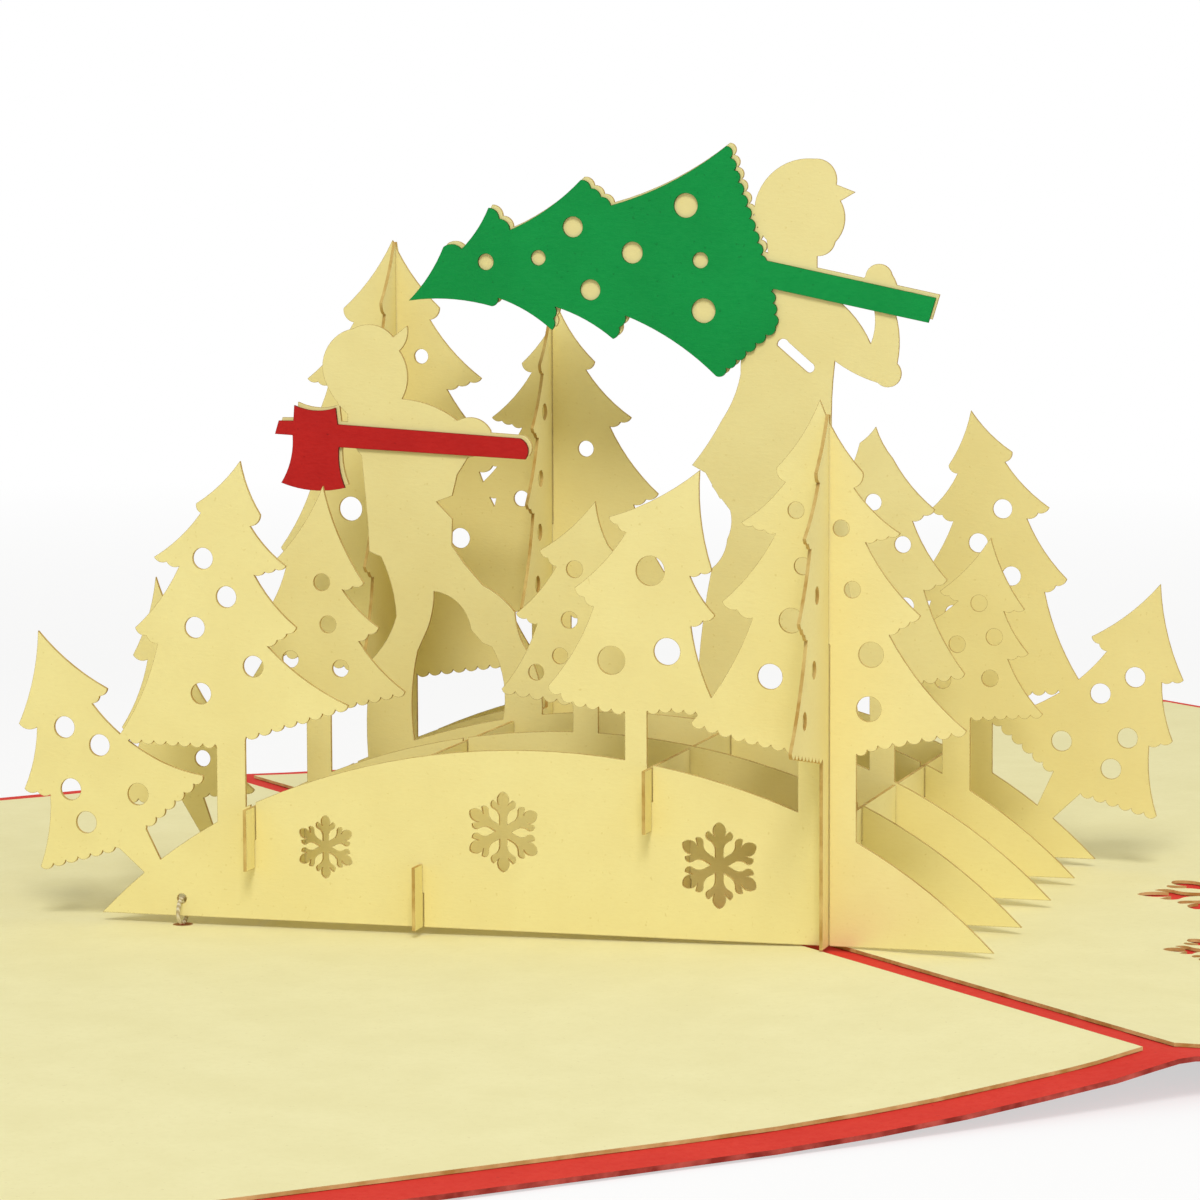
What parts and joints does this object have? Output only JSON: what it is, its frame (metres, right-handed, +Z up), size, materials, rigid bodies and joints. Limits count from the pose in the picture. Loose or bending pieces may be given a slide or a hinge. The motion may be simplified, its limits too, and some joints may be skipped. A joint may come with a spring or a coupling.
{
  "type": "pop up card",
  "caption": "Opened pop-up card: folded cover with glued liners and an interlocked paper lattice cut into hills, fir trees and two woodcutter figures",
  "frame": {"origin": "middle of the opened card's footprint, on the surface that it stands on", "axes": "+X to the right across the fold, +Y along the spine to the far end, +Z up"},
  "size_m": [0.26, 0.18, 0.0728],
  "materials": {
    "cover_card": "matt red card",
    "liner_paper": "matt cream paper with a fine fibre",
    "plate_paper": "matt yellow cream paper, laser cut with brown edges",
    "green_card": "matt green card",
    "red_card": "matt dark red card",
    "thread": "natural cotton thread"
  },
  "bodies": {
    "root": {"cover": "cover_card", "liner_left": "liner_paper", "liner_right": "liner_paper", "front_hill": "plate_paper", "second_hill": "plate_paper", "figure_hill": "plate_paper", "fourth_hill": "plate_paper", "rear_hill": "plate_paper", "left_rib": "plate_paper", "left_inner_rib": "plate_paper", "right_inner_rib": "plate_paper", "right_rib": "plate_paper", "felled_tree": "green_card", "axe": "red_card", "tie_left": "thread", "tie_right": "thread"}
  },
  "joints": []
}
